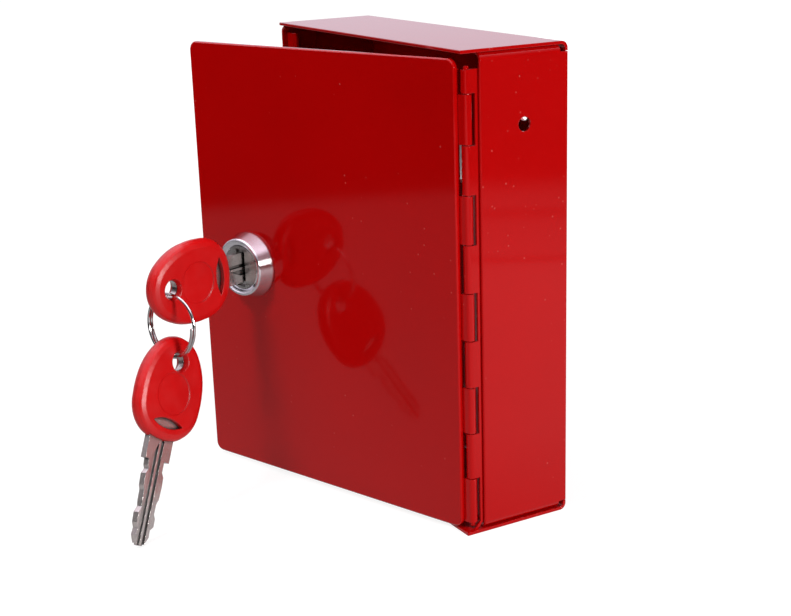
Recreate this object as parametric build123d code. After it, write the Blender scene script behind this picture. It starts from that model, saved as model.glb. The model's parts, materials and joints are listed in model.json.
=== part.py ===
from build123d import *
import math
import os

# Emergency key box in red powder-coated sheet steel, wall mounted, shown with its door ajar.
# Lengths are in millimetres. X runs to the right seen from the front, Y points to the wall and Z up.
# The origin is the centre of the back's outer face, which lies against the wall.

# Cabinet
BOX_W = 120.0            # over the two side panels
BOX_D = 38.0             # wall face to the front edge of the top plate
BOX_H = 152.0            # over the top and bottom plates
SHEET = 1.0              # sheet thickness of the cabinet
WRAP_BEND = 2.2          # outer radius where the top and bottom plates turn into the back
SIDE_BEND = 2.5          # outer radius of the side panels' bends
SIDE_FLANGE = 10.0       # flanges of the sides, under the top plate and over the bottom plate
FLANGE_FRONT_SETBACK = 9.0   # front plate edge to the front end of those flanges
RIGHT_SETBACK = 6.6      # front plate edge to the right side's front edge, room for the hinge
LEFT_SETBACK = 0.6       # front plate edge to the left side's front edge
NOTCH = 3.0              # height of the relief notches at the rear bends
EDGE_BREAK = 0.3         # broken edges of the painted sheet
FIT = 0.1                # gap between sheets that lie edge to edge
WALL_HOLE_D = 5.5        # screw holes in the back
WALL_HOLE_IN = 22.0      # their distance from the cabinet's sides
WALL_HOLE_DOWN = 24.0    # and from its top and bottom
SIDE_HOLE_D = 4.4        # hole in the right side
SIDE_HOLE_BACK = 15.7    # its distance from the wall
SIDE_HOLE_DOWN = 23.5    # and from the top

# Door stop, catch and key hook, welded inside the cabinet
STOP_W = 7.0             # width of the strip that the door's free edge closes on
STOP_LEG = 11.0
STOP_END = 2.5           # its ends to the top and bottom plates
STOP_T = 1.0
STOP_GAP = 0.6           # air between the closed door and the strip
CATCH_W = 9.0            # reach of the catch plate from the left side
CATCH_LEG = 8.0
CATCH_H = 28.0
CATCH_T = 1.2
CATCH_GAP = 0.3          # cam to catch plate
HOOK_W = 8.0
HOOK_T = 1.2
HOOK_LEG = 16.0          # leg on the back
HOOK_OUT = 12.0          # reach into the box
HOOK_UP = 6.0            # turned-up end
HOOK_DOWN = 52.0         # top of the cabinet to the underside of the hook

# Door
DOOR_T = 1.5
DOOR_CORNER = 3.0
DOOR_TOP_GAP = 1.7       # under the top plate
DOOR_BOTTOM_GAP = 0.5    # over the bottom plate
DOOR_LEFT_GAP = 1.2      # to the left side's inner face
DOOR_EDGE = 0.4          # broken edges of the door's face
DOOR_OPEN = 20.0         # degrees that the door stands open

# Piano hinge
LEAF_T = 0.8
LEAF_W = 13.0
KNUCKLE_D = 3.2
PIN_D = 1.6
PIN_PLAY = 0.05          # radial, pin in the knuckles
PITCH = 15.1             # from one knuckle joint to the next
HINGE_TOP_GAP = 4.7      # under the top plate; the top knuckle is cut short there
HINGE_BOTTOM_GAP = 2.2   # over the bottom plate
KNUCKLE_GAP = 0.3
AXIS_SETBACK = 3.5       # front plate edge to the hinge axis
DOOR_TO_AXIS = 2.0       # the door's right edge to the hinge axis
LEAF_NOTCH = 2.0         # a leaf's notch edge to the axis, where the other leaf has a knuckle
PIN_ABOVE = 0.9
PIN_BELOW = 1.4
FINGER_W = 1.2           # cut-off end of the leaf, slanting forward to the bottom plate
FINGER_OUT = 2.2         # its front foot to the notch edge

# Cam lock
LOCK_FROM_EDGE = 23.9    # door's left edge to the lock's axis
LOCK_UP = 75.0           # cabinet's underside to the lock's axis
BEZEL_D = 22.6
BEZEL_FRONT_D = 19.0
BEZEL_H = 5.8
BARREL_D = 18.6
BARREL_FLATS = 16.2
BARREL_L = 24.0          # behind the door's front face
BARREL_PLAY = 0.1
NUT_AF = 23.0
NUT_T = 3.5
NUT_WASHER_D = 24.0
NUT_WASHER_T = 0.8
PLUG_D = 13.6
PLUG_HEAD_D = 14.8
PLUG_HEAD_T = 1.3
PLUG_FACE = 5.2          # height of the plug's face over the door
PLUG_PLAY = 0.05         # radial, plug in the barrel
FACE_STEP = 0.4          # the middle band of the face lies this much lower
FACE_BAND = 11.4         # height of that band
KEYWAY_W = 2.7
KEYWAY_H = 10.0
KEYWAY_END = 23.2        # behind the door's front face
MOUTH_W = 3.8            # sunk mouth of the keyway
MOUTH_H = 13.2
MOUTH_T = 0.8
TAIL_SQUARE = 6.6        # square tail that carries the stop washer and the cam
TAIL_PLAY = 0.05
STOP_WASHER_T = 1.0
STOP_TAB_R = 9.0
STOP_TAB_ANGLE = 30.0
CAM_T = 2.0
CAM_W = 12.0
CAM_HUB_D = 16.0
CAM_REACH = 22.5
TURN = 90.0              # the plug's quarter turn
AXIAL_PLAY = 0.1
SCREW_D = 3.9
SCREW_HOLE_D = 4.0
SCREW_HEAD_D = 7.6
SCREW_HEAD_T = 2.3
SCREW_WASHER_D = 8.4
SCREW_WASHER_T = 0.8
SCREW_SLOT = 1.1
SCREW_END = 0.4          # web between the screw hole and the keyway
WAFERS = 7
WAFER_PITCH = 2.7
WAFER_FIRST = -1.2       # plane of the first wafer, from the door's front face
WAFER_T = 1.0
WAFER_W = 7.0
WAFER_PLAY = 0.05
WAFER_TRAVEL = 0.8
WAFER_WINDOW_W = 3.2
WAFER_LEDGE = 4.9        # the window's ledge over the key's edge, from the axis
WAFER_WINDOW_H = 10.8
WAFER_GROOVE = 7.9       # half height of the grooves in the barrel
LUG_W = 1.5
LUG_H = 1.0
SPRING_D = 1.2
SPRING_BORE = 0.7
SPRING_L = 3.0

# Keys: a steel blank with a moulded egg-shaped head
HEAD_L = 34.4
HEAD_W = 27.9
HEAD_END_R = 20.0        # flat arc of the outline at the blade
HEAD_CORNER_R = 12.0     # rounder arc beside it
HEAD_TURNS = [13.0, 70.0, 7.0, 9.5, 31.5, 49.0]   # degrees that the arcs turn, from the blade to the ring
HEAD_FACET = 7.0         # degrees of an arc that one facet stands for
HEAD_T = 5.6
HEAD_SHOULDER = [(0.0, 2.3), (0.5, 1.1), (1.1, 0.5), (2.5, 0.0)]   # inset and depth of the shoulder's lines
BLANK_T = 2.3
BOW_INSET = 2.6          # the blank's bow inside the head's outline
BOW_SHOW_FROM = 11.0     # from here to the blade the bow reaches the head's edge
BOW_SHOW_W = 22.0
RING_HOLE_D = 5.6
RING_HOLE_AT = -9.0      # from the head's centre, away from the blade
RING_HOLE_DISH = 0.8     # how much wider it opens towards the head's faces
DISC_R = 6.9             # plain sunk disc on the head
DISC_AT = 1.7
DISC_T = 0.2
WINDOW_AT = 11.5         # slot that shows the blank
WINDOW_L = 13.0
WINDOW_W = 3.4
COLLAR_W = 10.4
COLLAR_L = 6.4
BLADE_L = 27.3
BLADE_TIP_L = 3.0        # length of the pointed end
BLADE_TIP_W = 2.4        # its blunt end
# Half widths of the blade's two edges at distances from the collar
EDGE_A = [(0.6, 3.1), (3.4, 3.1), (4.8, 4.0), (7.6, 4.2), (12.0, 4.0), (13.4, 3.3), (16.8, 3.2), (18.2, 4.0),
          (20.8, 4.0), (22.0, 2.8), (BLADE_L - BLADE_TIP_L, 2.9)]
EDGE_B = [(0.6, 3.6), (2.2, 3.4), (3.2, 2.9), (4.8, 3.8), (8.6, 3.6), (10.0, 3.0), (13.4, 2.9), (15.2, 2.6),
          (17.2, 3.5), (20.4, 3.3), (22.0, 2.5), (BLADE_L - BLADE_TIP_L, 2.7)]
GROOVE_W = 1.2           # deep groove along each face of the blade
GROOVE_T = 0.7
GROOVE_AT = 0.9
VALLEY_W = 1.9           # wider groove beside it, running out in a point on the collar
VALLEY_T = 0.6
VALLEY_AT = -1.5
VALLEY_RUN = 4.5         # length of that point
HEAD_OUT = 28.5          # centre of the head in the lock, over the door's front face

# Split ring
RING_R = 10.4            # to the middle of the wire
WIRE_D = 1.04
COIL_GAP = 0.06          # between the two turns
WIRE_SIDES = 8           # flats that stand for the wire's round
RING_START = 93.0        # degrees clockwise from the top, where the front turn begins
RING_CROSS = 350.0       # the wire starts to cross over to the rear turn
RING_CROSSED = 440.0
RING_END = 700.0
RING_SEAT = 1.6          # wire's middle to the middle of a key's hole
RING_SIDE = 7.1          # degrees that the ring hangs to the side
RING_OUT = 4.7           # and outward
KEY_2_TILT = 12.6        # degrees that the hanging key tilts to the side
KEY_2_TWIST = 4.7        # and turns about its length
SHELF_GAP = 0.02         # its tip rests on the shelf under the cabinet

# Derived places, door closed
INNER_X = BOX_W / 2 - SHEET
INNER_Z = BOX_H / 2 - SHEET
LOCK_Z = -BOX_H / 2 + LOCK_UP
AXIS_X = INNER_X - KNUCKLE_D / 2
AXIS_Y = -BOX_D + AXIS_SETBACK
DOOR_REAR = AXIS_Y - KNUCKLE_D / 2
DOOR_FRONT = DOOR_REAR - DOOR_T
DOOR_LEFT = -INNER_X + DOOR_LEFT_GAP
DOOR_RIGHT = AXIS_X - DOOR_TO_AXIS
DOOR_TOP = INNER_Z - DOOR_TOP_GAP
DOOR_BOTTOM = -INNER_Z + DOOR_BOTTOM_GAP
LOCK_X = DOOR_LEFT + LOCK_FROM_EDGE
STOP_WASHER_TOP = -BARREL_L - AXIAL_PLAY
CAM_TOP = STOP_WASHER_TOP - STOP_WASHER_T
CAM_BOTTOM = CAM_TOP - CAM_T
HINGE_TOP = INNER_Z - HINGE_TOP_GAP
HINGE_BOTTOM = -INNER_Z + HINGE_BOTTOM_GAP
HINGE = Axis((AXIS_X, AXIS_Y, 0), (0, 0, 1))
LOCK_PLANE = Plane(origin=(LOCK_X, DOOR_FRONT, LOCK_Z), x_dir=(1, 0, 0), z_dir=(0, -1, 0))


def block(x0, x1, y0, y1, z0, z1):
    """A box between two corners."""
    centre = Pos((x0 + x1) / 2, (y0 + y1) / 2, (z0 + z1) / 2)
    return centre * Box(abs(x1 - x0), abs(y1 - y0), abs(z1 - z0))


def swing(shape):
    """Turn a piece of the closed door to where the door stands."""
    return shape.rotate(HINGE, DOOR_OPEN)


def on_lock(shape):
    """Put a piece drawn on the lock's axis, +Z outward, where the lock is."""
    return swing(LOCK_PLANE.location * shape)


def angle_strip(front, leg, flange, thick, low, high):
    """An L strip on the left side's inner face, its flange's front face at y = front."""
    leg_part = block(-INNER_X, -INNER_X + thick, front, front + leg, low, high)
    flange_part = block(-INNER_X, -INNER_X + flange, front, front + thick, low, high)
    return leg_part + flange_part


# Cabinet
def body_wrap():
    """Top plate, back and bottom plate, bent from one sheet."""
    outer = Pos(-BOX_D / 2, 0) * Rectangle(BOX_D, BOX_H)
    outer = fillet(outer.vertices().group_by(Axis.X)[-1], WRAP_BEND)
    inner = Pos(-BOX_D / 2 - SHEET, 0) * Rectangle(BOX_D, 2 * INNER_Z)
    inner = fillet(inner.vertices().group_by(Axis.X)[-1], WRAP_BEND - SHEET)
    wrap = extrude(Plane.YZ * (outer - inner), BOX_W / 2, both=True)
    wrap = chamfer(wrap.edges().filter_by(Axis.X).group_by(Axis.Y)[0], EDGE_BREAK / 2)
    half = BOX_H / 2 - NOTCH
    for side in (-1, 1):
        edge = side * (INNER_X - FIT)
        wrap -= block(edge, side * BOX_W, -SHEET - FIT, SHEET, -half, half)
        for end in (-1, 1):
            hole = Cylinder(WALL_HOLE_D / 2, 4 * SHEET, rotation=(90, 0, 0))
            wrap -= Pos(side * (BOX_W / 2 - WALL_HOLE_IN), 0, end * (BOX_H / 2 - WALL_HOLE_DOWN)) * hole
    return wrap


def side_panel(side, setback):
    """A side pan: a wall with a bent flange at the top and at the bottom."""
    outer = Pos(BOX_W / 2 - SIDE_FLANGE / 2, 0) * Rectangle(SIDE_FLANGE, 2 * INNER_Z)
    outer = fillet(outer.vertices().group_by(Axis.X)[-1], SIDE_BEND)
    inner = Pos(INNER_X - SIDE_FLANGE / 2, 0) * Rectangle(SIDE_FLANGE, 2 * (INNER_Z - SHEET))
    inner = fillet(inner.vertices().group_by(Axis.X)[-1], SIDE_BEND - SHEET)
    front = -BOX_D + setback
    panel = extrude(Plane.XZ * (outer - inner), -front)
    ends = panel.edges().filter_by(Axis.Z).group_by(Axis.Y)[0].group_by(SortBy.LENGTH)[-2:]
    panel = chamfer(ends[0] + ends[1], EDGE_BREAK)
    rear = -WRAP_BEND - 4 * FIT
    bend_x = BOX_W / 2 - SIDE_BEND
    for end in (-1, 1):
        low = end * (BOX_H / 2 - NOTCH - 2 * FIT)
        panel -= block(0, BOX_W, rear, SHEET, low, end * BOX_H)
        panel -= block(0, bend_x, -BOX_D, -BOX_D + FLANGE_FRONT_SETBACK, low, end * BOX_H)
    if side < 0:
        return panel.mirror(Plane.YZ)
    hole = Cylinder(SIDE_HOLE_D / 2, 4 * SHEET, rotation=(0, 90, 0))
    return panel - Pos(BOX_W / 2, -SIDE_HOLE_BACK, BOX_H / 2 - SIDE_HOLE_DOWN) * hole


def door_stop_strip():
    """The strip inside the left side that the door closes on."""
    end = INNER_Z - STOP_END
    return angle_strip(DOOR_REAR + STOP_GAP, STOP_LEG, STOP_W, STOP_T, -end, end)


def catch_plate():
    """The plate that the cam turns behind, its leg running forward on the left side."""
    rear = DOOR_FRONT - CAM_TOP - CATCH_GAP
    low = LOCK_Z - CATCH_H / 2
    leg = block(-INNER_X, -INNER_X + CATCH_T, rear - CATCH_LEG, rear, low, low + CATCH_H)
    flange = block(-INNER_X, -INNER_X + CATCH_W, rear - CATCH_T, rear, low, low + CATCH_H)
    plate = leg + flange
    corners = plate.edges().filter_by(Axis.Y).group_by(Axis.X)[-1]
    return fillet(corners, 2 * CATCH_T)


def key_hook():
    """A bent steel strip on the back for the key that is kept in the box."""
    back = -SHEET
    tip = back - HOOK_OUT
    low = BOX_H / 2 - HOOK_DOWN
    leg = block(-HOOK_W / 2, HOOK_W / 2, back - HOOK_T, back, low, low + HOOK_LEG)
    floor = block(-HOOK_W / 2, HOOK_W / 2, tip, back, low, low + HOOK_T)
    end = block(-HOOK_W / 2, HOOK_W / 2, tip, tip + HOOK_T, low, low + HOOK_UP)
    hook = leg + floor + end
    bends = hook.edges().filter_by(Axis.X).group_by(Axis.Z)[0]
    hook = fillet(bends, HOOK_T)
    tips = hook.edges().filter_by(Axis.Y).group_by(SortBy.LENGTH)[0]
    return fillet(tips, HOOK_W / 4)


# Hinge
def knuckle_spans(first):
    """Low and high ends of every second knuckle from the bottom, beginning with number first."""
    count = math.ceil((HINGE_TOP - HINGE_BOTTOM - 4 * KNUCKLE_GAP) / PITCH)
    joints = [HINGE_BOTTOM + PITCH * i for i in range(count)] + [HINGE_TOP]
    return [(joints[i], joints[i + 1]) for i in range(first, count, 2)]


DOOR_KNUCKLES = knuckle_spans(0)
BOX_KNUCKLES = knuckle_spans(1)


def hinge_leaf(plate, spans):
    """Add knuckles to a leaf's plate and bore them for the pin."""
    for low, high in spans:
        length = high - low - KNUCKLE_GAP
        middle = Pos(AXIS_X, AXIS_Y, (low + high) / 2)
        plate += middle * Cylinder(KNUCKLE_D / 2, length)
        plate -= middle * Cylinder(PIN_D / 2 + PIN_PLAY, length + PITCH / 2)
    return plate


def hinge_leaf_box():
    """The leaf welded inside the right side."""
    edge = AXIS_Y + LEAF_NOTCH
    bottom = -INNER_Z + SIDE_BEND
    leaf = block(INNER_X - LEAF_T, INNER_X, AXIS_Y, AXIS_Y + LEAF_W, bottom, HINGE_TOP)
    for low, high in DOOR_KNUCKLES:
        room = KNUCKLE_GAP / 2
        leaf -= block(AXIS_X, BOX_W, -BOX_D, edge, low - room, high + room)
    leaf = hinge_leaf(leaf, BOX_KNUCKLES)
    foot = edge - FINGER_OUT
    outline = Polyline((edge, bottom), (foot, -INNER_Z), (foot + FINGER_W, -INNER_Z), (edge + FINGER_W, bottom),
                       close=True)
    finger = extrude(Plane.YZ.offset(INNER_X - LEAF_T) * make_face(outline), LEAF_T)
    return leaf + finger


def hinge_leaf_door():
    """The leaf welded behind the door."""
    leaf = block(AXIS_X - LEAF_W, AXIS_X, DOOR_REAR, DOOR_REAR + LEAF_T,
                 HINGE_BOTTOM + KNUCKLE_GAP / 2, HINGE_TOP)
    for low, high in BOX_KNUCKLES:
        room = KNUCKLE_GAP / 2
        leaf -= block(AXIS_X - LEAF_NOTCH - FIT, BOX_W, -BOX_D, 0, low - room, high + room)
    return swing(hinge_leaf(leaf, DOOR_KNUCKLES))


def hinge_pin():
    """The pin through all knuckles, with rounded ends."""
    low = HINGE_BOTTOM - PIN_BELOW
    high = HINGE_TOP + PIN_ABOVE
    pin = Pos(AXIS_X, AXIS_Y, (low + high) / 2) * Cylinder(PIN_D / 2, high - low)
    return chamfer(pin.edges().filter_by(GeomType.CIRCLE), PIN_D / 5)


# Door
def door_panel():
    """The flat door with its flatted hole for the lock."""
    wide = DOOR_RIGHT - DOOR_LEFT
    high = DOOR_TOP - DOOR_BOTTOM
    face = RectangleRounded(wide, high, DOOR_CORNER)
    middle = Plane(origin=((DOOR_LEFT + DOOR_RIGHT) / 2, DOOR_REAR, (DOOR_TOP + DOOR_BOTTOM) / 2),
                   x_dir=(1, 0, 0), z_dir=(0, -1, 0))
    door = extrude(middle * face, DOOR_T)
    door = chamfer(door.faces().sort_by(Axis.Y)[0].edges(), DOOR_EDGE)
    hole = Cylinder(BARREL_D / 2 + BARREL_PLAY, 4 * DOOR_T)
    hole &= Box(BARREL_FLATS + 2 * BARREL_PLAY, BARREL_D + DOOR_T, 4 * DOOR_T)
    return swing(door - LOCK_PLANE.location * hole)


# Lock, drawn on its own axis: X right, Y up, +Z outward, Z = 0 on the door's front face
def lock_housing():
    """Chromed bezel and barrel in one casting."""
    rim = BEZEL_FRONT_D / 2
    seat = PLUG_HEAD_D / 2 + 2 * PLUG_PLAY
    bore = PLUG_D / 2 + PLUG_PLAY
    shoulder = PLUG_FACE - PLUG_HEAD_T - PLUG_PLAY
    outline = Polyline((BEZEL_D / 2, 0), (BEZEL_D / 2, 0.6), (rim + 0.3, BEZEL_H - 0.3), (rim, BEZEL_H),
                       (rim - 0.6, BEZEL_H), (rim - 0.6, BEZEL_H - 0.4), (rim - 0.9, BEZEL_H - 0.4),
                       (seat, PLUG_FACE - 0.2), (seat, shoulder), (bore, shoulder), (bore, -BARREL_L),
                       (BARREL_D / 2, -BARREL_L), (BARREL_D / 2, 0), close=True)
    housing = revolve(Plane.XZ * make_face(outline), Axis.Z)
    for side in (-1, 1):
        housing -= block(side * BARREL_FLATS / 2, side * BARREL_D, -BARREL_D, BARREL_D, -BARREL_L - 1, 0)
    last = WAFER_FIRST - (WAFERS - 1) * WAFER_PITCH
    groove = WAFER_W / 2 + 4 * WAFER_PLAY
    housing -= block(-groove, groove, -WAFER_GROOVE, WAFER_GROOVE, last - WAFER_T, WAFER_FIRST + WAFER_T)
    return on_lock(housing + stop_lug())


def sector(inner, outer, start, sweep, low, high):
    """Part of a ring between two angles."""
    arc = CenterArc((0, 0), outer, start, sweep)
    back = CenterArc((0, 0), inner, start, sweep)
    outline = make_face([arc, Line(arc @ 1, back @ 1), back, Line(back @ 0, arc @ 0)])
    return Pos(0, 0, low) * extrude(outline, high - low)


def stop_lug():
    """The lug behind the barrel that ends the plug's quarter turn both ways."""
    start = 90 + STOP_TAB_ANGLE / 2 + 1
    sweep = 360 - TURN - STOP_TAB_ANGLE - 2
    inner = PLUG_HEAD_D / 2
    return sector(inner, BARREL_FLATS / 2, start, sweep, CAM_TOP + AXIAL_PLAY, -BARREL_L)


def lock_washer():
    """Flat washer between the door and the nut."""
    ring = Circle(NUT_WASHER_D / 2) - Circle(BARREL_D / 2 + BARREL_PLAY)
    return on_lock(Pos(0, 0, -DOOR_T - NUT_WASHER_T) * extrude(ring, NUT_WASHER_T))


def lock_nut():
    """Hexagon nut on the barrel."""
    face = RegularPolygon(NUT_AF / 2, 6, major_radius=False) - Circle(BARREL_D / 2 + BARREL_PLAY / 2)
    nut = extrude(face, NUT_T)
    cone = Pos(0, 0, NUT_T / 2) * Cylinder(NUT_AF / math.sqrt(3) - 0.6, NUT_T)
    cone = chamfer(cone.edges().filter_by(GeomType.CIRCLE), 0.5)
    return on_lock(Pos(0, 0, -DOOR_T - NUT_WASHER_T - NUT_T) * (nut & cone))


def wafer_level(number):
    """Plane of a wafer, counted from 1 at the front."""
    return WAFER_FIRST - (number - 1) * WAFER_PITCH


def wafer_turn(number):
    """Odd wafers are pressed down by their springs, even ones are turned half round."""
    return 0 if number % 2 else 180


def lock_plug():
    """The plug with its keyway, wafer slots, spring pockets and square tail."""
    plug = Pos(0, 0, (PLUG_FACE - BARREL_L) / 2) * Cylinder(PLUG_D / 2, PLUG_FACE + BARREL_L)
    plug += Pos(0, 0, PLUG_FACE - PLUG_HEAD_T / 2) * Cylinder(PLUG_HEAD_D / 2, PLUG_HEAD_T)
    tail = TAIL_SQUARE / 2
    plug += block(-tail, tail, -tail, tail, CAM_BOTTOM + AXIAL_PLAY, -BARREL_L)
    plug -= block(-PLUG_D, PLUG_D, -FACE_BAND / 2, FACE_BAND / 2, PLUG_FACE - FACE_STEP, BEZEL_H)
    plug -= block(-MOUTH_W / 2, MOUTH_W / 2, -MOUTH_H / 2, MOUTH_H / 2,
                  PLUG_FACE - FACE_STEP - MOUTH_T, BEZEL_H)
    plug -= block(-KEYWAY_W / 2, KEYWAY_W / 2, -KEYWAY_H / 2, KEYWAY_H / 2, -KEYWAY_END, BEZEL_H)
    end = -KEYWAY_END - SCREW_END
    plug -= Pos(0, 0, (CAM_BOTTOM + end) / 2) * Cylinder(SCREW_HOLE_D / 2, end - CAM_BOTTOM)
    wide = WAFER_W / 2 + WAFER_PLAY
    thick = WAFER_T / 2 + WAFER_PLAY
    pocket = SPRING_D / 2 + WAFER_PLAY
    for number in range(1, WAFERS + 1):
        cut = block(-wide, wide, -PLUG_D, PLUG_D, -thick, thick)
        cut += block(0, wide + LUG_W + 2 * WAFER_PLAY, -LUG_H / 2 - WAFER_TRAVEL - 2 * WAFER_PLAY,
                     LUG_H / 2 + SPRING_L, -pocket, pocket)
        plug -= Pos(0, 0, wafer_level(number)) * Rot(0, 0, wafer_turn(number)) * cut
    return on_lock(plug)


def wafer(number):
    """A brass wafer with its window and the lug that its spring presses."""
    plate = Rectangle(WAFER_W, PLUG_D) & RegularPolygon(PLUG_D / 2 - 2 * WAFER_PLAY, 24)
    plate -= Pos(0, WAFER_LEDGE - WAFER_WINDOW_H / 2) * Rectangle(WAFER_WINDOW_W, WAFER_WINDOW_H)
    plate += Pos(WAFER_W / 2 + LUG_W / 2 - WAFER_PLAY, 0) * Rectangle(LUG_W + 2 * WAFER_PLAY, LUG_H)
    piece = Pos(0, 0, -WAFER_T / 2) * extrude(plate, WAFER_T)
    return on_lock(Pos(0, 0, wafer_level(number)) * Rot(0, 0, wafer_turn(number)) * piece)


def wafer_spring(number):
    """The spring of a wafer, as an eight-sided sleeve of its outside and inside diameter."""
    sleeve = RegularPolygon(SPRING_D / 2, 8) - RegularPolygon(SPRING_BORE / 2, 8)
    spring = extrude(sleeve, SPRING_L - 2 * WAFER_PLAY)
    upright = Pos(WAFER_W / 2 + LUG_W / 2 + WAFER_PLAY, LUG_H / 2 + WAFER_PLAY, 0) * Rot(-90, 0, 0) * spring
    return on_lock(Pos(0, 0, wafer_level(number)) * Rot(0, 0, wafer_turn(number)) * upright)


def square_hole():
    """The hole that fits the plug's tail."""
    return Rectangle(TAIL_SQUARE + 2 * TAIL_PLAY, TAIL_SQUARE + 2 * TAIL_PLAY)


def stop_washer():
    """Washer whose tab turns between the ends of the barrel's lug."""
    disc = Circle(PLUG_HEAD_D / 2 - 2 * PLUG_PLAY) - square_hole()
    washer = Pos(0, 0, CAM_TOP) * extrude(disc, STOP_WASHER_T)
    tab = sector(PLUG_D / 2, STOP_TAB_R, 90 - STOP_TAB_ANGLE / 2, STOP_TAB_ANGLE, CAM_TOP, STOP_WASHER_TOP)
    return on_lock(washer + tab)


def lock_cam():
    """Flat cam, pointing down while the lock is open."""
    arm = Pos(0, -CAM_REACH / 2) * RectangleRounded(CAM_W, CAM_REACH, CAM_W / 6)
    face = arm + Circle(CAM_HUB_D / 2) - square_hole()
    return on_lock(Pos(0, 0, CAM_BOTTOM) * extrude(face, CAM_T))


def cam_washer():
    """Spring washer under the cam screw."""
    ring = Circle(SCREW_WASHER_D / 2) - Circle(SCREW_HOLE_D / 2)
    return on_lock(Pos(0, 0, CAM_BOTTOM - SCREW_WASHER_T) * extrude(ring, SCREW_WASHER_T))


def cam_screw():
    """Cross-slotted screw that holds the cam on the tail."""
    under = CAM_BOTTOM - SCREW_WASHER_T
    head = Pos(0, 0, under - SCREW_HEAD_T / 2) * Cylinder(SCREW_HEAD_D / 2, SCREW_HEAD_T)
    head = chamfer(head.edges().filter_by(GeomType.CIRCLE).sort_by(Axis.Z)[0], 0.8)
    for turn in (0, 90):
        slot = Rot(0, 0, turn) * Box(SCREW_HEAD_D * 0.7, SCREW_SLOT, 2 * SCREW_HEAD_T)
        head -= Pos(0, 0, under - 1.6 * SCREW_HEAD_T) * slot
    end = -KEYWAY_END - 1.5 * SCREW_END
    shank = Pos(0, 0, (under + end) / 2) * Cylinder(SCREW_D / 2, end - under)
    return on_lock(head + shank)


# Keys, drawn lying flat: X towards the blade's tip, Y across, Z through the thickness
def head_arcs():
    """Headings and radii of the arcs of the head's upper half, fitted to its length and width."""
    headings = [90.0]
    for turn in HEAD_TURNS:
        headings.append(headings[-1] + turn)
    ways = [arc_way(a, b) for a, b in zip(headings, headings[1:])]
    side = (HEAD_W / 2 - HEAD_END_R * ways[0].Y - HEAD_CORNER_R * ways[1].Y) / ways[2].Y
    radii = [HEAD_END_R, HEAD_CORNER_R, side, side]
    rest = Vector(-HEAD_L, 0)
    for radius, way in zip(radii, ways):
        rest -= way * radius
    a, b = ways[4:]
    span = a.X * b.Y - b.X * a.Y
    radii += [(rest.X * b.Y - b.X * rest.Y) / span, (a.X * rest.Y - rest.X * a.Y) / span]
    return headings, radii


def arc_way(start, end):
    """Way along an arc of radius 1 that turns left between two headings."""
    a = math.radians(start)
    b = math.radians(end)
    return Vector(math.sin(b) - math.sin(a), math.cos(a) - math.cos(b))


def egg(inset=0.0):
    """The head's outline, wider towards the blade, its arcs in short facets."""
    headings, radii = head_arcs()
    points = [Vector(HEAD_L / 2 - inset, 0)]
    for start, end, radius in zip(headings, headings[1:], radii):
        origin = points[-1]
        count = math.ceil((end - start) / HEAD_FACET)
        for step in range(1, count + 1):
            points.append(origin + arc_way(start, start + (end - start) * step / count) * (radius - inset))
    under = [Vector(point.X, -point.Y) for point in points[-2:0:-1]]
    return make_face(Polyline(*points, *under, close=True))


def blade_edge(points, side):
    """Corner points of one edge of the blade."""
    start = HEAD_L / 2 + COLLAR_L
    return [(start + along, side * half) for along, half in points]


def groove(face, at, start, tip):
    """Cutter of the deep groove in one face of the blade."""
    level = face * BLANK_T / 2
    return block(start, tip + 1, at - GROOVE_W / 2, at + GROOVE_W / 2, level - face * GROOVE_T, level + face)


def valley(face, at, start, tip):
    """Cutter of the wider groove, which starts in a point."""
    level = face * BLANK_T / 2
    bend = start + VALLEY_RUN
    near = at + VALLEY_W / 2 * math.copysign(1, -at)
    far = at - VALLEY_W / 2 * math.copysign(1, -at)
    outline = Polyline((start, near), (bend, far), (tip + 1, far), (tip + 1, near), close=True)
    cutter = extrude(Plane.XY * make_face(outline), VALLEY_T + 1)
    return Pos(0, 0, level - VALLEY_T if face > 0 else level - 1) * cutter


def key_blade():
    """The steel blank: bow, collar and double-cut blade."""
    collar_end = HEAD_L / 2 + COLLAR_L
    tip = collar_end + BLADE_L
    show = Pos(BOW_SHOW_FROM + HEAD_L / 2, 0) * Rectangle(HEAD_L, BOW_SHOW_W)
    bow = egg(BOW_INSET) + (egg(HEAD_SHOULDER[1][0]) & show)
    collar = Pos(collar_end / 2, 0) * Rectangle(collar_end, COLLAR_W)
    outline = [(0, EDGE_A[0][1])] + blade_edge(EDGE_A, 1) + [(tip, BLADE_TIP_W / 2), (tip, -BLADE_TIP_W / 2)]
    outline += blade_edge(EDGE_B, -1)[::-1] + [(0, -EDGE_B[0][1])]
    flat = bow + collar + make_face(Polyline(*outline, close=True))
    flat -= Pos(RING_HOLE_AT, 0) * Circle(RING_HOLE_D / 2)
    key = extrude(flat, BLANK_T / 2, both=True)
    for face in (-1, 1):
        key -= groove(face, face * GROOVE_AT, HEAD_L / 2 - 1, tip)
        key -= valley(face, face * VALLEY_AT, HEAD_L / 2 + 0.5, tip)
    return key


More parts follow.
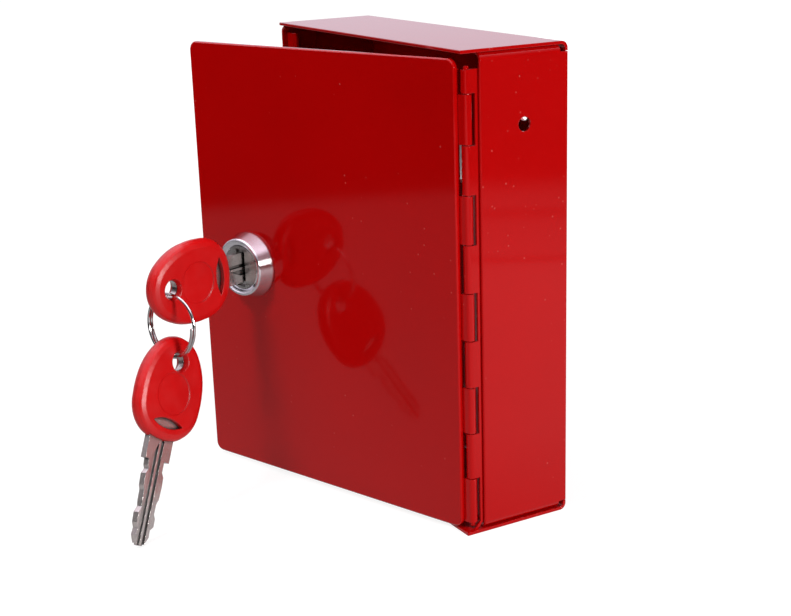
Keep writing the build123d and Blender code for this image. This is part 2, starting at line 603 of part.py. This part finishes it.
def key_head(blank):
    """The moulded head around the blank's bow."""
    lines = [(inset, HEAD_T / 2 - depth) for inset, depth in HEAD_SHOULDER]
    outlines = [Pos(0, 0, -height) * egg(inset) for inset, height in reversed(lines)]
    outlines += [Pos(0, 0, height) * egg(inset) for inset, height in lines]
    head = loft(outlines, ruled=True)
    head -= Pos(RING_HOLE_AT, 0, 0) * Cylinder(RING_HOLE_D / 2, 2 * HEAD_T)
    end = WINDOW_L / 2
    arc_a = ThreePointArc((WINDOW_AT, -end), (WINDOW_AT - WINDOW_W / 2, 0), (WINDOW_AT, end))
    arc_b = ThreePointArc(arc_a @ 1, (WINDOW_AT + WINDOW_W / 2, 0), arc_a @ 0)
    head -= extrude(make_face([arc_a, arc_b]), HEAD_T, both=True)
    deep = (HEAD_T - BLANK_T) / 2
    dish = Cone(RING_HOLE_D / 2, RING_HOLE_D / 2 + RING_HOLE_DISH, deep)
    for face in (-1, 1):
        surface = face * HEAD_T / 2
        head -= Pos(RING_HOLE_AT, 0, surface - face * deep / 2) * Rot(90 - face * 90, 0, 0) * dish
        head -= Pos(DISC_AT, 0, surface) * Cylinder(DISC_R, 2 * DISC_T)
    return head - blank


def key_1_place():
    """The key in the lock, its face upright and looking to the right."""
    frame = Plane(origin=(LOCK_X, DOOR_FRONT - HEAD_OUT, LOCK_Z), x_dir=(0, 1, 0), z_dir=(1, 0, 0))
    return frame.location


# The ring hangs from the first key's hole and holds the second key
RING_HOLE_OUT = HEAD_OUT - RING_HOLE_AT
RING_FRAME = (Plane(origin=(LOCK_X, DOOR_FRONT - RING_HOLE_OUT, LOCK_Z), x_dir=(1, 0, 0), z_dir=(0, -1, 0)).location
              * Rot(-RING_OUT, 0, 0) * Rot(0, 0, RING_SIDE))


def ring_point(angle, out):
    """A point of the wire's middle line, clockwise from the top."""
    turn = math.radians(angle)
    return Vector(RING_R * math.sin(turn), RING_R * math.cos(turn), out)


def ring_heading(angle):
    """The wire's direction there."""
    turn = math.radians(angle)
    return Vector(math.cos(turn), -math.sin(turn), 0)


def flat_turn(start, end, out):
    """Arcs of one turn, none over a half turn."""
    count = math.ceil((end - start) / 180)
    step = (end - start) / count
    arcs = []
    for i in range(count):
        at = start + step * i
        through = [ring_point(at + step * part, out) for part in (0, 0.5, 1)]
        arcs.append(ThreePointArc(*through))
    return arcs


def crossing(out):
    """Two tangent arcs that carry the wire from the front turn to the rear one."""
    start = ring_point(RING_CROSS, out)
    end = ring_point(RING_CROSSED, -out)
    leave = ring_heading(RING_CROSS)
    arrive = ring_heading(RING_CROSSED)
    gap = end - start
    along = gap.dot(leave + arrive)
    share = 2 * (1 - leave.dot(arrive))
    reach = (math.sqrt(along ** 2 + share * gap.dot(gap)) - along) / share
    before = start + leave * reach
    after = end - arrive * reach
    middle = (before + after) * 0.5
    return [TangentArc(start, middle, tangent=leave), TangentArc(middle, end, tangent=after - before)]


def split_ring():
    """Two turns of one wire, side by side, with a crossing from the front turn to the rear one."""
    out = (WIRE_D + COIL_GAP) / 2
    front = flat_turn(RING_START, RING_CROSS, out)
    rear = flat_turn(RING_CROSSED, RING_END, -out)
    path = Wire(front + crossing(out) + rear)
    section = Plane(origin=path @ 0, x_dir=(0, 0, 1), z_dir=path % 0) * RegularPolygon(WIRE_D / 2, WIRE_SIDES)
    return swing(RING_FRAME * Pos(0, -RING_SEAT - RING_R, 0) * sweep(section, path))


def leaning(lean):
    """Directions along, across and through the hanging key, leaning outward by an angle."""
    tilt = math.radians(KEY_2_TILT)
    along = Vector(math.sin(tilt) * math.cos(lean), -math.sin(lean), -math.cos(tilt) * math.cos(lean))
    through = Vector(math.cos(tilt), 0, math.sin(tilt)).rotate(Axis((0, 0, 0), along), -KEY_2_TWIST)
    return along, through.cross(along), through


def key_2_place():
    """The hanging key: it leans outward until its tip stands on the shelf."""
    hole = (RING_FRAME * Pos(0, -2 * (RING_SEAT + RING_R), 0)).position
    reach = (HEAD_L / 2 + COLLAR_L + BLADE_L - RING_HOLE_AT) * math.cos(math.radians(KEY_2_TILT))
    lean = 0
    for _ in range(12):
        along, across, through = leaning(lean)
        height = hole.Z + BOX_H / 2 - SHELF_GAP
        height -= abs(across.Z) * BLADE_TIP_W / 2 + abs(through.Z) * BLANK_T / 2
        lean = math.acos(height / reach) if height < reach else 0
    return Plane(origin=hole - along * RING_HOLE_AT, x_dir=along, z_dir=through).location


def key_at(place):
    """Blade and head of one key."""
    blade = key_blade()
    head = key_head(blade)
    return swing(place * blade), swing(place * head)


nodes = {
    "body_wrap": body_wrap(),
    "side_panel_right": side_panel(1, RIGHT_SETBACK),
    "side_panel_left": side_panel(-1, LEFT_SETBACK),
    "door_stop_strip": door_stop_strip(),
    "catch_plate": catch_plate(),
    "key_hook": key_hook(),
    "hinge_leaf_box": hinge_leaf_box(),
    "hinge_leaf_door": hinge_leaf_door(),
    "hinge_pin": hinge_pin(),
    "door_panel": door_panel(),
    "lock_housing": lock_housing(),
    "lock_washer": lock_washer(),
    "lock_nut": lock_nut(),
    "lock_plug": lock_plug(),
    "stop_washer": stop_washer(),
    "lock_cam": lock_cam(),
    "cam_washer": cam_washer(),
    "cam_screw": cam_screw(),
    "split_ring": split_ring(),
}
for number in range(1, WAFERS + 1):
    nodes[f"wafer_{number}"] = wafer(number)
    nodes[f"wafer_spring_{number}"] = wafer_spring(number)
nodes["key_1_blade"], nodes["key_1_head"] = key_at(key_1_place())
nodes["key_2_blade"], nodes["key_2_head"] = key_at(key_2_place())

os.makedirs("parts", exist_ok=True)
for name, shape in nodes.items():
    export_step(shape, f"parts/{name}.step")
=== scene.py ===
import json
import math

import bpy
from mathutils import Matrix, Vector


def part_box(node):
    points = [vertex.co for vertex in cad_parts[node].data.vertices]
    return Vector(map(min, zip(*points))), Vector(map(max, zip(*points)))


# Emergency key box, red powder coat, door ajar, standing on a pale studio floor.
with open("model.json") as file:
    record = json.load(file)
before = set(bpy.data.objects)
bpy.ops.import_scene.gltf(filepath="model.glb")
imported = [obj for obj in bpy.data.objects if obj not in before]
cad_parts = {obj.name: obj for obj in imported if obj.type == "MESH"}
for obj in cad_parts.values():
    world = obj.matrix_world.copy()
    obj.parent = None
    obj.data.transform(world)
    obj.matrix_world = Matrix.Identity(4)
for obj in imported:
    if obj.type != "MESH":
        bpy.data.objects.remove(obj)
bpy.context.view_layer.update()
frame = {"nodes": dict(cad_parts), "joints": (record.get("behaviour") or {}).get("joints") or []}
nodes = frame["nodes"]
joints = {joint["name"]: joint for joint in frame["joints"]}

# Colours, linear
RED = (0.42, 0.0008, 0.0009)
HEAD_RED = (0.52, 0.0030, 0.0036)
NICKEL = (0.66, 0.60, 0.58)
CHROME = (0.78, 0.77, 0.80)
PLUG = (0.57, 0.55, 0.53)
WIRE = (0.66, 0.65, 0.64)
ZINC = (0.52, 0.52, 0.50)
BRASS = (0.60, 0.44, 0.20)
# Painted light: the hook is coloured pale so that the slit seen through the hinge gap shows light
HOOK_PAINTED_LIGHT = (0.85, 0.84, 0.84)
DUST = (0.80, 0.20, 0.17)
# Painted shade: colour laid into the key blades' grooves and corners in place of their shadow
PAINTED_GROOVE_SHADE = (0.015, 0.015, 0.016)
COAT_TINT = (1.0, 0.10, 0.11)
WHITE = (1.0, 1.0, 1.0)

# Finish, in metres where it is a length
COAT_RELIEF = 0.0000055
COAT_EDGE = 0.00028
SPECK_CELLS = 330.0
SPECK_SHARE = 0.24
SPECK_HEIGHT = 6.0
HEAD_RELIEF = 0.000012
HEAD_EDGE = 0.0006
CHROME_RELIEF = 0.00001
CHROME_EDGE = 0.0010
METAL_RELIEF = 0.000006
METAL_EDGE = 0.00015
BLADE_EDGE = 0.00006
# How far the painted groove shade on the key blades reaches
GROOVE_SHADE_REACH = 0.0012
SCRATCH_SCALES = (160.0, 5200.0, 5200.0)
THREAD_PITCH = 0.001
THREAD_HEIGHT = 18.0
BARREL_START = -0.0015

# Floor, and the white sheet that shining surfaces see on it, with its light at distances along two
# directions: dark lines in it make the edges that the door and the side mirror
FLOOR_Z = -0.076
FLOOR_HALF = 6.0
FLOOR_GREYS = ((0.55, 0.55, 0.55), (0.57, 0.57, 0.57))
FLOOR_SHADOW = (0.24, 0.24, 0.24)
SHEET_COLOUR = (1.0, 0.97, 1.0)
SHEET_LIGHT = 0.62
TOWARD_DOOR = (-0.545, -0.839, 0)
DOOR_STOPS = [(0.0, 0.80), (0.15, 0.68), (0.25, 0.57), (0.45, 0.48), (0.486, 0.46), (0.526, 0.0)]
TOWARD_SIDE = (0.866, 0.503, 0)
SIDE_STOPS = [
    (0.04, 1.0), (0.12, 1.7), (0.340, 1.85), (0.362, 1.8), (0.374, 0.7), (0.386, 1.5), (0.46, 1.3),
    (0.488, 0.6), (0.510, 1.25), (0.540, 1.05), (0.60, 0.15)]

# Surroundings: the light of the air, and what shining surfaces see in it, each with its direction, the
# cosines where it starts and is full, and its light
AIR_LIGHT = 0.14
MIRRORED_COLOUR = (0.96, 0.88, 1.0)
MIRRORED_LEAST = 0.03
MIRRORED = {
    "white backdrop": ((-0.87, 0.49, 0.05), -0.02, 0.40, 0.85),
    "pale air": ((0, 0, 1), 0.30, 0.50, 0.4),
    "ceiling": ((0, 0, 1), 0.55, 0.80, 2.0),
    "lamp sheet": ((-0.12, 0.74, 0.66), 0.955, 0.975, 2.4),
}

# Point that the lamps face
LAMP_AIM = Vector((0, -0.03, 0))

# Camera fitted to the photograph
AZIMUTH = math.radians(60.649)
ELEVATION = math.radians(16.602)
ROLL = math.radians(-1.766)
DISTANCE = 0.506426
TARGET = Vector((-0.014144, -0.020, -0.02197))
SENSOR = 36.0
FOCAL_PIXELS = 1429.13
PHOTO_WIDTH = 791

# Directions of the lock
OUT = Vector(joints["plug_turn"]["axis"])
LOCK = Vector(joints["plug_turn"]["pos_m"])
UP = Vector((0, 0, 1))
RIGHT = UP.cross(OUT).normalized()


# Node helpers
class Tree:
    """A node tree with short calls for the nodes used here."""

    def __init__(self, owner, coordinates="Object"):
        owner.use_nodes = True
        self.tree = owner.node_tree
        self.place = self.add("ShaderNodeTexCoord").outputs[coordinates]

    def add(self, kind, inputs=None, **settings):
        made = self.tree.nodes.new(kind)
        for name, value in settings.items():
            setattr(made, name, value)
        for key, value in (inputs or {}).items():
            self.put(made.inputs[key], value)
        return made

    def put(self, socket, value):
        """Link an output to a socket, or write a plain value into it."""
        if isinstance(value, bpy.types.NodeSocket):
            self.tree.links.new(value, socket)
        elif socket.type == "RGBA":
            socket.default_value = (*value[:3], 1.0)
        else:
            socket.default_value = value

    def noise(self, scale, detail=2.0, rough=0.5, place=None):
        made = self.add("ShaderNodeTexNoise", {"Scale": scale, "Detail": detail, "Roughness": rough})
        self.put(made.inputs["Vector"], place or self.place)
        return made.outputs["Fac"]

    def spread(self, value, low, high, to_low=0.0, to_high=1.0, smooth=False):
        """A value's range from low to high spread over another range."""
        kind = "SMOOTHSTEP" if smooth else "LINEAR"
        made = self.add("ShaderNodeMapRange", interpolation_type=kind)
        for socket, number in zip(made.inputs, (value, low, high, to_low, to_high)):
            self.put(socket, number)
        return made.outputs["Result"]

    def maths(self, kind, a, b=0.0):
        made = self.add("ShaderNodeMath", operation=kind)
        self.put(made.inputs[0], a)
        self.put(made.inputs[1], b)
        return made.outputs["Value"]

    def mix(self, share, a, b):
        made = self.add("ShaderNodeMix", data_type="RGBA")
        self.put(made.inputs["Factor"], share)
        self.put(made.inputs["A"], a)
        self.put(made.inputs["B"], b)
        return made.outputs["Result"]

    def dot(self, direction, origin=(0, 0, 0)):
        """How far the shaded point lies along a direction."""
        moved = self.add("ShaderNodeVectorMath", {0: self.place, 1: tuple(origin)}, operation="SUBTRACT")
        made = self.add("ShaderNodeVectorMath", {0: moved.outputs["Vector"], 1: tuple(direction)},
                        operation="DOT_PRODUCT")
        return made.outputs["Value"]

    def ramp(self, value, stops):
        """Brightness along a value, from pairs of place and brightness."""
        made = self.add("ShaderNodeValToRGB", {"Fac": value})
        points = made.color_ramp.elements
        for place, bright in stops[2:]:
            points.new(place)
        for point, (place, bright) in zip(points, stops):
            point.position = place
            point.color = (bright, bright, bright, 1)
        return made.outputs["Color"]

    def painted_groove_shade(self, colour, reach):
        """A colour with painted shade: darker in grooves and corners narrower than a reach."""
        unoccluded = self.add("ShaderNodeAmbientOcclusion", {"Distance": reach}, samples=8)
        return self.mix(self.maths("POWER", unoccluded.outputs["AO"], 2.6), PAINTED_GROOVE_SHADE, colour)

    def stretched(self, along, scales):
        """Coordinates along a direction and across it, each with its own scale."""
        across = along.orthogonal().normalized()
        axes = (along, across, along.cross(across))
        made = self.add("ShaderNodeCombineXYZ")
        for socket, axis, scale in zip(made.inputs, axes, scales):
            self.put(socket, self.maths("MULTIPLY", self.dot(axis), scale))
        return made.outputs["Vector"]

    def relief(self, height, depth, edge):
        """Bump of a depth, over edges rounded by a radius."""
        made = self.add("ShaderNodeBump", {"Height": height, "Distance": depth, "Strength": 1.0})
        soft = self.add("ShaderNodeBevel", {"Radius": edge}, samples=6)
        self.put(made.inputs["Normal"], soft.outputs["Normal"])
        return made.outputs["Normal"]

    def by_ray(self, plain, mirrored, seen):
        """One shader for ordinary rays, one for glossy rays and one for the camera's."""
        rays = self.add("ShaderNodeLightPath")
        shader = plain.outputs[0]
        for ray, other in (("Is Glossy Ray", mirrored), ("Is Camera Ray", seen)):
            sockets = {0: rays.outputs[ray], 1: shader, 2: other.outputs[0]}
            shader = self.add("ShaderNodeMixShader", sockets).outputs[0]
        return shader


class Shader(Tree):
    """A material on the Principled shader."""

    def __init__(self, name):
        self.material = bpy.data.materials.new(name)
        super().__init__(self.material)
        self.bsdf = self.tree.nodes["Principled BSDF"]

    def set(self, **values):
        for name, value in values.items():
            self.put(self.bsdf.inputs[name.replace("_", " ")], value)

    def stained_metal(self, colour, rough, darker, metallic, normal, shade_reach=0.0):
        """Metal with slight stains and changes of roughness, and painted shade in grooves if a reach is
        given.
        """
        stain = self.spread(self.noise(260.0, 3.0), 0.35, 0.7)
        base = self.mix(stain, shade(colour, darker), colour)
        if shade_reach:
            # Painted shade: the colour darkens in grooves and corners
            base = self.painted_groove_shade(base, shade_reach)
        finish = self.spread(self.noise(700.0, 2.0), 0.3, 0.7, rough * 0.8, rough * 1.25)
        self.set(Base_Color=base, Metallic=metallic, Roughness=finish, Normal=normal)


def shade(colour, factor):
    return tuple(channel * factor for channel in colour)


# Materials
def powder_coat():
    """Glossy red coat with slight orange peel, faint tone changes, fine dust specks and rounded edges."""
    s = Shader("red_coat")
    tone = s.spread(s.noise(22.0, 3.0), 0.3, 0.7)
    colour = s.mix(tone, shade(RED, 0.96), shade(RED, 1.04))
    cells = s.add("ShaderNodeTexVoronoi", {"Vector": s.place, "Scale": SPECK_CELLS, "Randomness": 1.0})
    dot = s.spread(cells.outputs["Distance"], 0.05, 0.13, 1.0, 0.0)
    chosen = s.add("ShaderNodeSeparateColor", {"Color": cells.outputs["Color"]})
    rare = s.spread(chosen.outputs["Red"], 0.70, 0.72)
    patch = s.spread(s.noise(28.0, 2.0), 0.46, 0.60)
    speck = s.maths("MULTIPLY", s.maths("MULTIPLY", dot, rare), patch)
    colour = s.mix(s.maths("MULTIPLY", speck, SPECK_SHARE), colour, DUST)
    peel = s.noise(900.0, 2.0, 0.5)
    wave = s.noise(160.0, 1.0)
    height = s.maths("ADD", s.maths("MULTIPLY", peel, 0.5), s.maths("MULTIPLY", wave, 0.5))
    height = s.maths("ADD", height, s.maths("MULTIPLY", speck, SPECK_HEIGHT))
    normal = s.relief(height, COAT_RELIEF, COAT_EDGE)
    s.set(Base_Color=colour, Roughness=0.10, Normal=normal, Coat_Weight=0.3, Coat_Roughness=0.03,
          Coat_Normal=normal, Specular_Tint=COAT_TINT)
    return s.material


def moulded(name, colour):
    """Satin moulded plastic with a fine grain."""
    s = Shader(name)
    tone = s.spread(s.noise(90.0, 2.0), 0.3, 0.7)
    grain = s.noise(2600.0, 2.0)
    normal = s.relief(grain, HEAD_RELIEF, HEAD_EDGE)
    rough = s.spread(s.noise(240.0, 2.0), 0.35, 0.65, 0.30, 0.38)
    s.set(Base_Color=s.mix(tone, shade(colour, 0.95), shade(colour, 1.05)), Roughness=rough, Normal=normal,
          Specular_IOR_Level=0.45)
    return s.material


def metal(name, colour, rough, depth=METAL_RELIEF, darker=0.85, metallic=1.0):
    """Bare or plated metal with a fine grain and slight stains."""
    s = Shader(name)
    grain = s.noise(1500.0, 2.0, 0.6)
    s.stained_metal(colour, rough, darker, metallic, s.relief(grain, depth, METAL_EDGE))
    return s.material


def drawn_metal(name, colour, rough, along, depth, metallic):
    """Plated blank with slight stains, scratches along a direction and painted shade in its grooves."""
    s = Shader(name)
    lines = s.noise(1.0, 2.0, 0.6, s.stretched(along, SCRATCH_SCALES))
    s.stained_metal(colour, rough, 0.85, metallic, s.relief(lines, depth, BLADE_EDGE), GROOVE_SHADE_REACH)
    return s.material


def lock_chrome():
    """Chrome on the bezel, thread rings on the barrel behind the door."""
    s = Shader("lock_chrome")
    depth = s.dot(OUT, LOCK)
    barrel = s.spread(depth, BARREL_START - 0.0001, BARREL_START, 1.0, 0.0)
    ring = s.maths("SINE", s.maths("MULTIPLY", depth, 2 * math.pi / THREAD_PITCH))
    thread = s.maths("MULTIPLY", s.maths("MULTIPLY", ring, barrel), THREAD_HEIGHT)
    grain = s.noise(1900.0, 3.0, 0.6)
    normal = s.relief(s.maths("ADD", thread, grain), CHROME_RELIEF, CHROME_EDGE)
    stain = s.spread(s.noise(420.0, 3.0), 0.35, 0.7)
    s.set(Base_Color=s.mix(stain, shade(CHROME, 0.9), CHROME), Metallic=1.0, Normal=normal,
          Roughness=s.spread(barrel, 0.0, 1.0, 0.12, 0.3))
    return s.material


def dress():
    """Give each carried-over node its material."""
    low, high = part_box("key_2_blade")
    hang = Vector(joints["key_2_swing"]["pos_m"])
    tip = Vector(((low[0] + high[0]) / 2, low[1], low[2]))
    along_2 = (tip - hang).normalized()
    coat = powder_coat()
    head = moulded("head_red", HEAD_RED)
    zinc = metal("zinc_plate", ZINC, 0.34)
    looks = {
        "key_1_head": head,
        "key_2_head": head,
        "key_1_blade": drawn_metal("nickel_1", NICKEL, 0.20, OUT, depth=0.000002, metallic=0.9),
        "key_2_blade": drawn_metal("nickel_2", NICKEL, 0.20, along_2, depth=0.0000015, metallic=0.74),
        # Painted light: a pale hook, so that the slit seen through the hinge gap is light
        "key_hook": metal("hook_painted_light", HOOK_PAINTED_LIGHT, 0.4, metallic=0.2),
        "split_ring": metal("ring_wire", WIRE, 0.13, depth=0.000003),
        "lock_housing": lock_chrome(),
        "lock_plug": metal("plug_face", PLUG, 0.3, depth=0.00001, darker=0.7),
    }
    for name in ("hinge_pin", "door_panel", "body_wrap", "side_panel_right", "side_panel_left",
                 "door_stop_strip", "catch_plate", "hinge_leaf_box", "hinge_leaf_door"):
        looks[name] = coat
    brass = metal("wafer_brass", BRASS, 0.3)
    for name, piece in nodes.items():
        if name.startswith("wafer_spring"):
            look = looks["split_ring"]
        elif name.startswith("wafer_"):
            look = brass
        else:
            look = looks.get(name, zinc)
        for slot in piece.material_slots:
            slot.material = look


# Studio
def make_floor():
    """A pale floor, a little greyer near the box; what shines sees a white sheet on it."""
    mesh = bpy.data.meshes.new("floor")
    signs = ((-1, -1), (1, -1), (1, 1), (-1, 1))
    corners = [(x * FLOOR_HALF, y * FLOOR_HALF, FLOOR_Z) for x, y in signs]
    mesh.from_pydata(corners, [], [(0, 1, 2, 3)])
    floor = bpy.data.objects.new("floor", mesh)
    bpy.context.collection.objects.link(floor)
    s = Shader("floor_white")
    s.tree.nodes.remove(s.bsdf)
    output = s.tree.nodes["Material Output"]
    grain = s.spread(s.noise(60.0, 2.0), 0.3, 0.7)
    diffuse = s.add("ShaderNodeBsdfDiffuse", {"Color": s.mix(grain, *FLOOR_GREYS)})
    away = s.add("ShaderNodeVectorMath", {0: s.place}, operation="LENGTH").outputs["Value"]
    whiter = s.spread(away, 0.15, 0.9, 0.86, 1.0)
    glow = s.add("ShaderNodeEmission", {"Color": WHITE, "Strength": whiter})
    shadow = s.add("ShaderNodeBsdfDiffuse", {"Color": FLOOR_SHADOW})
    seen = s.add("ShaderNodeAddShader", {0: glow.outputs[0], 1: shadow.outputs[0]})
    toward_door = s.ramp(s.dot(TOWARD_DOOR), DOOR_STOPS)
    toward_side = s.ramp(s.dot(TOWARD_SIDE), SIDE_STOPS)
    sheet = s.maths("MULTIPLY", s.maths("MULTIPLY", toward_door, toward_side), SHEET_LIGHT)
    shine = s.add("ShaderNodeEmission", {"Color": SHEET_COLOUR, "Strength": sheet})
    s.put(output.inputs["Surface"], s.by_ray(diffuse, shine, seen))
    mesh.materials.append(s.material)


def make_world():
    """White to the camera; what shines sees the surroundings listed in MIRRORED."""
    world = bpy.data.worlds.new("studio")
    bpy.context.scene.world = world
    s = Tree(world, "Generated")
    shine = MIRRORED_LEAST
    for direction, start, full, light in MIRRORED.values():
        toward = s.dot(Vector(direction).normalized())
        shine = s.maths("ADD", shine, s.spread(toward, start, full, 0.0, light, smooth=True))
    plain = s.add("ShaderNodeBackground", {"Color": WHITE, "Strength": AIR_LIGHT})
    mirrored = s.add("ShaderNodeBackground", {"Color": MIRRORED_COLOUR, "Strength": shine})
    seen = s.tree.nodes["Background"]
    s.put(seen.inputs["Color"], WHITE)
    s.put(s.tree.nodes["World Output"].inputs["Surface"], s.by_ray(plain, mirrored, seen))


def lamp(name, toward, distance, size, light, shine=False):
    """A square soft lamp in a direction from the object; light is 1 where a colour renders as written."""
    data = bpy.data.lights.new(name, "AREA")
    data.shape = "SQUARE"
    data.size = size
    data.energy = math.pi ** 2 * distance ** 2 * light
    made = bpy.data.objects.new(name, data)
    bpy.context.collection.objects.link(made)
    away = Vector(toward).normalized()
    made.location = LAMP_AIM + away * distance
    made.rotation_euler = (-away).to_track_quat("-Z", "Y").to_euler()
    made.visible_glossy = shine
    made.visible_camera = False


def make_camera():
    """The photograph's viewpoint."""
    level = Vector((-math.sin(AZIMUTH), math.cos(AZIMUTH), 0))
    ahead = level * math.cos(ELEVATION) - UP * math.sin(ELEVATION)
    right = Vector((math.cos(AZIMUTH), math.sin(AZIMUTH), 0))
    up = right.cross(ahead)
    turned_right = right * math.cos(ROLL) + up * math.sin(ROLL)
    turned_up = up * math.cos(ROLL) - right * math.sin(ROLL)
    data = bpy.data.cameras.new("camera")
    data.sensor_width = SENSOR
    data.lens = FOCAL_PIXELS / PHOTO_WIDTH * SENSOR
    data.clip_start = 0.01
    camera = bpy.data.objects.new("camera", data)
    bpy.context.collection.objects.link(camera)
    turn = Matrix((turned_right, turned_up, -ahead)).transposed()
    camera.matrix_world = Matrix.Translation(TARGET - ahead * DISTANCE) @ turn.to_4x4()
    bpy.context.scene.camera = camera


make_camera()
make_world()
make_floor()
lamp("right_light", (0.94, 0.33, 0.22), 1.2, 0.30, 0.82, shine=True)
lamp("top_light", OUT * 0.62 - RIGHT * 0.12 + UP * 0.76, 1.25, 0.25, 0.44)
lamp("front_light", (0.15, -1.0, 0.12), 1.4, 0.9, 0.19)
lamp("overhead_light", (0, 0, 1), 1.4, 0.6, 0.26)
lamp("back_light", (-0.75, 0.62, 0.12), 1.4, 0.9, 0.36)
dress()

bpy.context.scene.view_settings.view_transform = "Standard"
